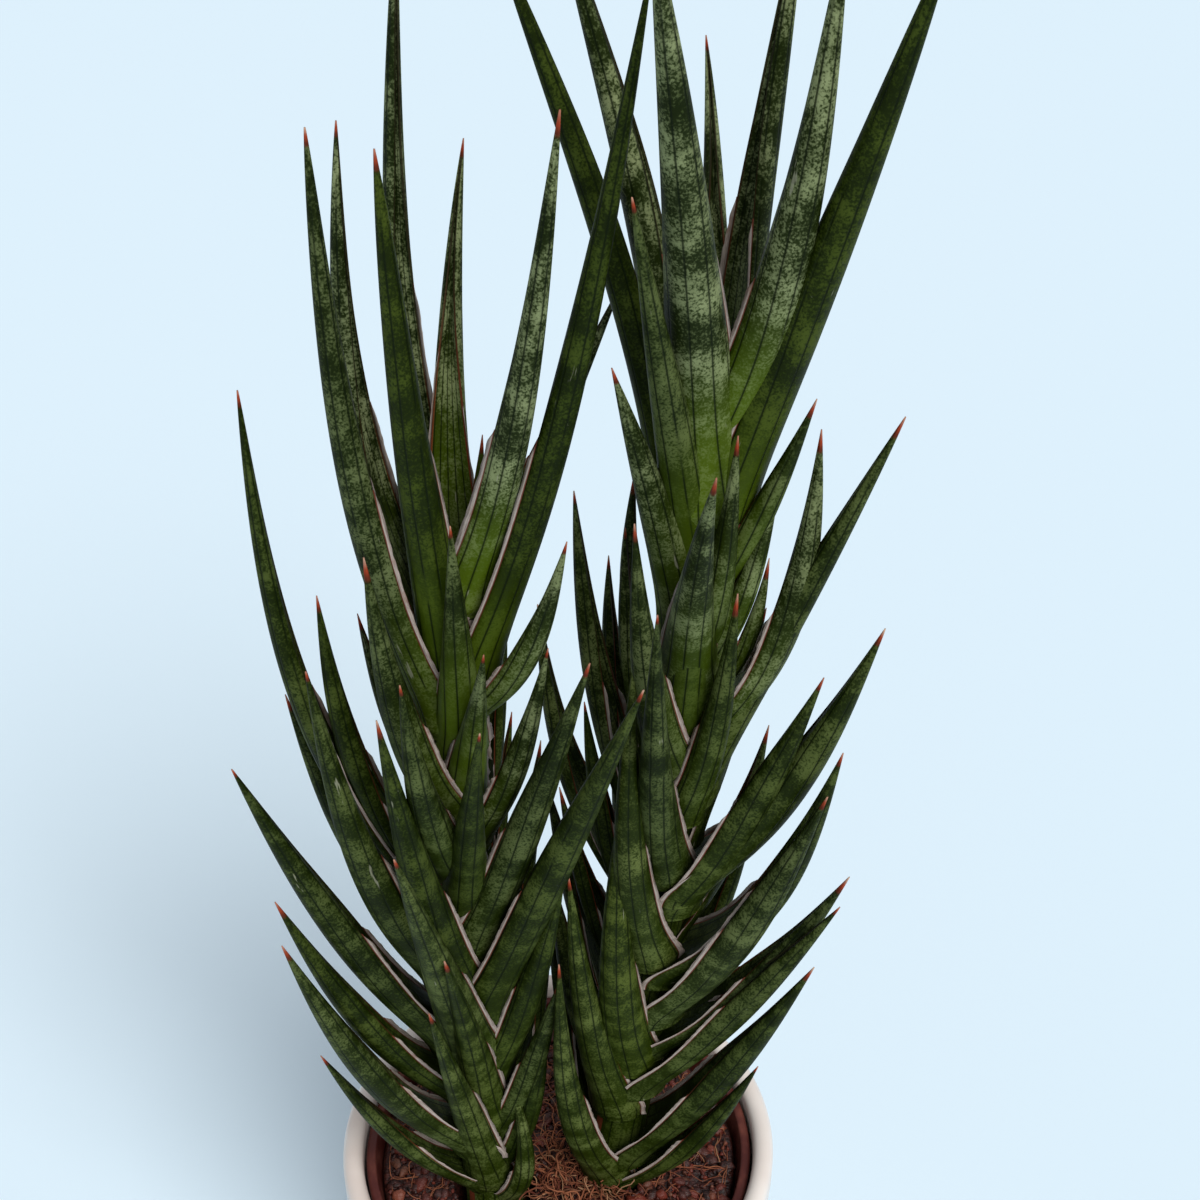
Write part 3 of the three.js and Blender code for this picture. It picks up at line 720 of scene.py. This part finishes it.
def glazeFinish():
    # Warm white glaze: faint warm clouds, tiny specks and a slow swell in the surface
    coat = {"Coat Weight": 0.25, "Coat Roughness": 0.2}
    material, tree, shader = newFinish("whiteGlaze", 0.34, 0.5, **coat)
    place = objectPlace(tree)
    clouds = noise(tree, place, 28.0, 3.0, 0.55)
    specks = noise(tree, place, 900.0, 2.0, 0.6)
    pure, clouded, specked = (tint(*coverPot[name]) for name in ("glaze", "cloud", "speck"))
    glaze = blend(tree, between(tree, clouds, 0.35, 0.7), pure, clouded)
    glaze = blend(tree, times(tree, between(tree, specks, 0.7, 0.78), 0.35), glaze, specked)
    coverWith(tree, shader, glaze, noise(tree, place, 60.0, 2.0, 0.5), 0.25)
    return material


nurseryPot = {
    "rimRadius": nurseryBox[1][0], "rimTop": nurseryBox[1][2], "stand": nurseryBox[0][2],
    "rimDepth": 8, "rimWall": 3, "rimRound": 1, "rimStep": 0.5,
    "topRadius": 57, "footRadius": 44, "wall": 1.5, "floor": 1.8, "sides": 128,
    "footBevel": 1, "rimUnderside": 0.4, "rimInside": 4, "insideStep": 2,
    "drainHoles": 6, "drainHoleRadius": 4, "drainCircleRadius": 29, "drainHoleSides": 24,
    "plastic": (74, 24, 18), "scuffed": (112, 58, 46),
}


def drillHoles(piece, spots, radius, low, high, around):
    # Cuts upright round holes through the piece between two heights, by a bar at each spot
    grid = spots[:, None, None] + ringPoints(radius, [[low], [high]], around)
    quads, fans = tubeFaces(len(spots), 2, around)
    bars = bpy.data.meshes.new("drill")
    bars.from_pydata((tubePoints(grid) * mm).tolist(), [], quads.tolist() + fans.tolist())
    drill = newObject("drill", bars)
    cut = piece.modifiers.new("holes", "BOOLEAN")
    cut.operation, cut.solver, cut.object = "DIFFERENCE", "EXACT", drill
    graph = bpy.context.evaluated_depsgraph_get()
    piece.data = bpy.data.meshes.new_from_object(piece.evaluated_get(graph), depsgraph=graph)
    piece.modifiers.clear()
    bpy.data.objects.remove(drill)


def makeNurseryPot(material):
    # Thin tapered wall with a stepped rim, and drain holes in the floor
    p = nurseryPot
    stand, rimRound = p["stand"], p["rimRound"]
    rimBottom, floorTop = p["rimTop"] - p["rimDepth"], stand + p["floor"]
    inner = p["rimRadius"] - p["rimWall"]
    outside = [(p["footRadius"] - p["footBevel"], stand), (p["footRadius"], stand + p["footBevel"]),
               (p["topRadius"], rimBottom - p["rimUnderside"]), (p["rimRadius"] - p["rimStep"], rimBottom),
               (p["rimRadius"], rimBottom + p["rimStep"])]
    rim = np.vstack([arc(p["rimRadius"] - rimRound, p["rimTop"] - rimRound, rimRound, 0, 90, 5),
                     arc(inner + rimRound, p["rimTop"] - rimRound, rimRound, 90, 180, 5)])
    inside = [(inner, p["rimTop"] - p["rimInside"]),
              (p["topRadius"] - p["wall"], rimBottom - p["insideStep"]),
              (p["footRadius"] - p["wall"], floorTop)]
    profile = np.vstack([outside, rim, inside])
    pot = makeTurned("nurseryPot", profile, p["sides"], material, "nursery_pot")
    spots = ringPoints(p["drainCircleRadius"], 0, p["drainHoles"])
    drillHoles(pot, spots, p["drainHoleRadius"], stand - 1, floorTop + 1, p["drainHoleSides"])
    print("drilled", p["drainHoles"], "drain holes")


def plasticFinish():
    # Red-brown moulded plastic, a little dusty and scuffed
    material, tree, shader = newFinish("redBrownPlastic", 0.5, 0.4)
    place = objectPlace(tree)
    dust = noise(tree, place, 90.0, 4.0, 0.65)
    clean, scuffed = tint(*nurseryPot["plastic"]), tint(*nurseryPot["scuffed"])
    shade = blend(tree, between(tree, dust, 0.4, 0.75), clean, scuffed)
    rough = between(tree, dust, 0.3, 0.7, 0.4, 0.65)
    coverWith(tree, shader, shade, noise(tree, place, 700.0, 3.0, 0.6), 0.08, rough)
    return material


# Potting mix

mix = {
    "edge": 114, "middle": 117, "radius": 57, "discRadius": 55.3, "edgeDrop": 1.2, "roughness": 0.5,
    "holeRadius": 12.6, "holeSlope": 0.7, "holeFloor": 96.3, "holeHeight": -5.0,
    "rings": 90, "around": 220, "play": 0.3, "wallLevels": (60, 108), "wallTop": 110.3,
    "swell": (0.5, 7.1, 6.3), "ripple": (0.35, 3.1, 3.7),    # height, then lengths along x and y
    # under bark, the darker tint is damp soil with painted shade of the hollows between crumbs, and the
    # lighter one is the bark's own colour
    "bark": ((24, 8, 6), (70, 26, 18)), "strand": (112, 56, 38), "seed": 5,
}


def mixHeight(x, y):
    # Low mound with a few slow swells and quicker ripples, each a sine along x times one along y
    radius = np.hypot(x, y)
    mound = mix["middle"] - (mix["middle"] - mix["edge"]) * np.minimum(1, radius / mix["radius"]) ** 2
    swell, swellX, swellY = mix["swell"]
    ripple, rippleX, rippleY = mix["ripple"]
    mound = mound + swell * np.sin(x / swellX + 1) * np.cos(y / swellY)
    return mound + ripple * np.sin(x / rippleX) * np.sin(y / rippleY + 2)


def stemDistance(x, y):
    # Distance to the nearer stem's axis at the height of the mix
    feet = [axisPoints(stem, mix["holeHeight"]) for stem in stems.values()]
    return np.minimum(*[np.hypot(x - foot[0], y - foot[1]) for foot in feet])


def makeMix(material):
    # A filled pot's worth: a disc of rings over the mound, down the wall and across the bottom
    p = nurseryPot
    rng = np.random.default_rng(mix["seed"])
    radius = np.linspace(0.4, mix["discRadius"], mix["rings"])[:, None]
    x, y, _ = np.moveaxis(ringPoints(radius, 0, mix["around"]), -1, 0)
    top = mixHeight(x, y) + mix["roughness"] * (rng.random(x.shape) - 0.5)
    top[-1] = top[-1] - mix["edgeDrop"]
    sunk = 1 - smoothStep(stemDistance(x, y), mix["holeRadius"] - mix["holeSlope"], mix["holeRadius"])
    top = top * (1 - sunk) + mix["holeFloor"] * sunk
    surface = np.stack([x, y, top], -1)[::-1]
    floor = p["stand"] + p["floor"] + mix["play"]
    levels = np.array([floor, *mix["wallLevels"]])[:, None]
    inset = p["wall"] + mix["play"]
    wallRadius = np.interp(levels, [floor, mix["wallTop"]], [p["footRadius"] - inset, p["topRadius"] - inset])
    wall = ringPoints(wallRadius, levels, mix["around"])
    grid = np.concatenate([wall, surface])[None]
    quads, fans = tubeFaces(1, grid.shape[1], mix["around"])
    makePiece("pottingMix", tubePoints(grid), quads, fans, material, None, "potting_mix")


# Kinds of chip: how many, the ranges of length, breadth and thickness, and the distance from a stem
chips = {
    "kinds": [(650, (2.4, 7.0), (1.8, 4.6), (1.0, 2.8), 14.0),
              (3300, (0.8, 2.6), (0.7, 2.0), (0.5, 1.5), 12.8)],
    "rings": 4, "around": 6, "bulge": (0.55, 1.0, 1.0, 0.5), "uneven": (0.72, 0.5), "wobble": 0.35,
    "slant": 0.25, "tipping": 0.9, "raised": 0.25, "lift": 0.6, "reach": 53.5,
    "red": (116, 44, 28), "dry": (136, 84, 60), "seed": 41,
}


def scatterOnMix(rng, count, clearance):
    # Places on the mix's surface, evenly spread over the disc and clear of the stems
    place = rng.random((count * 3, 2)) * 110 - 55
    near = np.hypot(place[:, 0], place[:, 1])
    keep = (near < chips["reach"]) & (stemDistance(place[:, 0], place[:, 1]) > clearance)
    place = place[keep][:count]
    return np.column_stack([place, mixHeight(place[:, 0], place[:, 1])])


def turnedAbout(points, angles):
    # Turns each body's points about X, then Y, then Z by its three angles
    for axis, (a, b) in zip(range(3), ((1, 2), (2, 0), (0, 1))):
        c, s = np.cos(angles[:, axis])[:, None], np.sin(angles[:, axis])[:, None]
        first, second = points[..., a] * c - points[..., b] * s, points[..., a] * s + points[..., b] * c
        points = points.copy()
        points[..., a], points[..., b] = first, second
    return points


def makeChips(material):
    # Bark chips and crumbs: blunt boxes of a few rings with uneven corners, tipped and half sunk
    rng = np.random.default_rng(chips["seed"])
    bodies, looks = [], []
    rings, around = chips["rings"], chips["around"]
    for count, longs, broads, thicks, clearance in chips["kinds"]:
        spots = scatterOnMix(rng, count, clearance)
        count = len(spots)
        wobble = chips["wobble"] * (rng.random((count, 1, around)) - 0.5)
        turn = 2 * np.pi * (np.arange(around) + 0.5)[None, None] / around + wobble
        level = np.linspace(-1, 1, rings)[None, :, None]
        bulge = np.array(chips["bulge"])[None, :, None] * drawn(rng, chips["uneven"], (count, rings, around))
        ranges = (longs, broads, thicks)
        size = [low + (high - low) * rng.random((count, 1, 1)) for low, high in ranges]
        level = level + chips["slant"] * (rng.random((count, rings, around)) - 0.5)
        body = np.stack([size[0] / 2 * bulge * np.cos(turn), size[1] / 2 * bulge * np.sin(turn),
                         size[2] / 2 * level], -1)
        tipping = chips["tipping"]
        angles = np.stack([tipping * (rng.random(count) - 0.5), tipping * (rng.random(count) - 0.5),
                           2 * np.pi * rng.random(count)], -1)
        body = turnedAbout(body.reshape(count, -1, 3), angles).reshape(body.shape)
        spots[:, 2] += chips["raised"] * size[2][:, 0, 0] + chips["lift"] * rng.random(count)
        bodies.append(body + spots[:, None, None])
        looks.append(np.broadcast_to(rng.random((count, 1, 1, 3)), body.shape))
    grid, look = np.concatenate(bodies), np.concatenate(looks)
    quads, fans = tubeFaces(len(grid), rings, around)
    marks = {"chipLook": tubePoints(look)}
    makePiece("barkChips", tubePoints(grid), quads, fans, material, marks)


def barkFinish(name, hasChips):
    # Dark red-brown bark with lighter orange-brown pieces, dry fibres, and a darker grain that paints damp
    # soil together with painted shade in the hollows between crumbs
    material, tree, shader = newFinish(name, 0.5, 0.5)
    place = objectPlace(tree)
    grain = noise(tree, place, 520.0, 4.0, 0.65)
    stretched = addNode(tree, "Mapping", {"Vector": place, "Scale": (300.0, 1400.0, 900.0)}).outputs[0]
    strands = noise(tree, stretched, 1.0, 3.0, 0.6)
    # painted shade: the darker tint, laid by a fine random grain, is damp soil together with the shade of
    # hollows between crumbs that have no shape of their own
    hollow, bark = mix["bark"]
    shade = blend(tree, between(tree, grain, 0.35, 0.7), tint(*hollow), tint(*bark))
    if hasChips:
        red, dry, _ = marked(tree, "chipLook")
        shade = blend(tree, times(tree, between(tree, red, 0.55, 1.0), 0.8), shade, tint(*chips["red"]))
        shade = blend(tree, times(tree, between(tree, dry, 0.8, 1.0), 0.5), shade, tint(*chips["dry"]))
    shade = blend(tree, times(tree, between(tree, strands, 0.55, 0.75), 0.3), shade, tint(*mix["strand"]))
    coverWith(tree, shader, shade, calc(tree, "ADD", grain, strands), 0.5)
    return material


# Roots and fibres

strandForm = {
    "steps": 26, "around": 5, "reach": 53.0, "lift": 0.6, "uneven": (0.85, 0.3),
    "taperAt": (0, 0.1, 0.7, 1), "taper": (0.7, 1, 0.8, 0.25),
    "brown": (96, 42, 28), "tan": (172, 108, 74), "straw": (196, 160, 120), "dark": (60, 26, 18),
}


def makeStrands(name, starts, lengths, radii, curl, seed, material):
    # Thin round strands that wander over the mix: the heading turns by a random walk, the height rises
    # and falls in loops, and a ring of points follows each step.
    rng = np.random.default_rng(seed)
    count, steps, around = len(starts), strandForm["steps"], strandForm["around"]
    even = np.linspace(0, 1, steps)
    heading = 2 * np.pi * rng.random((count, 1)) + np.cumsum(curl * (rng.random((count, steps)) - 0.5), 1)
    stepLength = (lengths / steps)[:, None]
    x = starts[:, 0, None] + np.cumsum(np.cos(heading) * stepLength, 1)
    y = starts[:, 1, None] + np.cumsum(np.sin(heading) * stepLength, 1)
    phase = 2 * np.pi * rng.random((count, 1))
    loops = np.abs(np.sin(even[None] * np.pi * (1 + 2 * rng.random((count, 1))) + phase))
    pull = np.minimum(1, strandForm["reach"] / np.maximum(np.hypot(x, y), 1e-6))
    x, y = x * pull, y * pull
    path = np.stack([x, y, mixHeight(x, y) + strandForm["lift"] + starts[:, 2, None] * loops], -1)
    way = np.gradient(path, axis=1)
    way /= np.linalg.norm(way, axis=-1, keepdims=True)
    sideways = np.cross(way, np.array([0.0, 0.0, 1.0]) + 0.01)
    sideways /= np.linalg.norm(sideways, axis=-1, keepdims=True)
    above = np.cross(sideways, way)
    turn = 2 * np.pi * np.arange(around) / around
    taper = np.interp(even, strandForm["taperAt"], strandForm["taper"])[None, :, None]
    radius = radii[:, None, None] * taper * drawn(rng, strandForm["uneven"], (count, steps, 1))
    grid = (path[:, :, None] - sideways[:, :, None] * (radius * np.cos(turn))[..., None]
            + above[:, :, None] * (radius * np.sin(turn))[..., None])
    quads, fans = tubeFaces(count, steps, around)
    look = np.broadcast_to(rng.random((count, 1, 1, 3)), grid.shape)
    marks = {"strandLook": tubePoints(look)}
    makePiece(name, tubePoints(grid), quads, fans, material, marks)


def strandFinish():
    # Dry roots and coir: red-brown to straw, each strand its own shade
    material, tree, shader = newFinish("dryRoot", 0.8, 0.3)
    warmth, straw, _ = marked(tree, "strandLook")
    brown, tan, dry, dark = (tint(*strandForm[name]) for name in ("brown", "tan", "straw", "dark"))
    shade = blend(tree, warmth, brown, tan)
    shade = blend(tree, times(tree, between(tree, straw, 0.8, 1.0), 0.6), shade, dry)
    grain = noise(tree, objectPlace(tree), 900.0, 3.0, 0.6)
    shade = blend(tree, times(tree, grain, 0.5), shade, dark)
    coverWith(tree, shader, shade, grain, 0.1)
    return material


# Coir lies all over the mix, and curly roots are tangled between the feet of the two stems. A pair is a
# least value and the span of its random part, and spread is that of a bell curve about the middle.
roots = {
    "coirFibres": {"count": 260, "clearance": 14.0, "rise": (0.6, 1.6), "length": (10, 22),
                   "radius": (0.1, 0.12), "thinning": 1, "curl": 0.9, "seed": 78},
    "curlyRoots": {"count": 120, "middle": (3.0, -12.0), "spread": (5.5, 6.5), "rise": (1.5, 5.0),
                   "length": (14, 22), "radius": (0.16, 0.26), "thinning": 2, "curl": 1.5, "seed": 79},
}


def makeRoots(material):
    # The places of both kinds of strand, each with its greatest height over the mix, length and radius
    rng = np.random.default_rng(77)
    for name, kind in roots.items():
        if "middle" in kind:
            bell = rng.normal(0, 1, (kind["count"], 2)) * np.array(kind["spread"])
            places = np.array(kind["middle"]) + bell
        else:
            places = scatterOnMix(rng, kind["count"], kind["clearance"])[:, :2]
        count = len(places)
        starts = np.column_stack([places, drawn(rng, kind["rise"], count)])
        lengths = drawn(rng, kind["length"], count)
        least, span = kind["radius"]
        radii = least + span * rng.random(count) ** kind["thinning"]
        makeStrands(name, starts, lengths, radii, kind["curl"], kind["seed"], material)


# Stage, camera and light

studio = {
    "floorHalf": 4.0, "floor": (224, 243, 255), "sky": (244, 247, 252), "skyStrength": 0.45,
    "cameraPlace": (0.013, -0.357, 0.590), "cameraTilt": 54, "lens": 54,
    "keyFrom": (0.34, -0.6, 0.73), "keySpread": 30, "keyStrength": 2.5, "keyColour": (1.0, 0.98, 0.95),
}


def makeStage():
    # a pale floor under everything
    half = studio["floorHalf"]
    mesh = bpy.data.meshes.new("paleFloor")
    mesh.from_pydata([(-half, -half, 0), (half, -half, 0), (half, half, 0), (-half, half, 0)], [],
                     [(0, 1, 2, 3)])
    colour = {"Base Color": tint(*studio["floor"])}
    mesh.materials.append(newFinish("paleFloor", 0.9, 0.1, **colour)[0])
    floor = newObject("paleFloor", mesh)


def makeCamera():
    # above the front of the pot, looking back and down at 36 degrees
    data = bpy.data.cameras.new("view")
    data.sensor_width = 36
    data.lens = studio["lens"]
    camera = newObject("view", data)
    camera.location = studio["cameraPlace"]
    camera.rotation_euler = (np.radians(studio["cameraTilt"]), 0, 0)
    bpy.context.scene.camera = camera


def makeStudio():
    # an even sky, and a soft key light from the front right that shades the floor on the left
    world = bpy.data.worlds.new("softSky")
    bpy.context.scene.world = world
    world.use_nodes = True
    sky = world.node_tree.nodes["Background"]
    sky.inputs["Color"].default_value = tint(*studio["sky"])
    sky.inputs["Strength"].default_value = studio["skyStrength"]
    bpy.context.scene.view_settings.view_transform = "Standard"
    data = bpy.data.lights.new("keyLight", "SUN")
    data.angle = np.radians(studio["keySpread"])
    data.energy = studio["keyStrength"]
    data.color = studio["keyColour"]
    light = newObject("keyLight", data)
    light.rotation_euler = Vector(studio["keyFrom"]).to_track_quat("Z", "Y").to_euler()


makeStage()
makeCamera()
makeStudio()
leafSkin = leafFinish()
paper = paperyFinish()
for stemName in stems:
    makeLeaves(stemName, leafSkin)
    makePaperyEdges(stemName, paper)
makeCoverPot(glazeFinish())
makeNurseryPot(plasticFinish())
makeMix(barkFinish("barkBed", False))
makeChips(barkFinish("barkChips", True))
makeRoots(strandFinish())
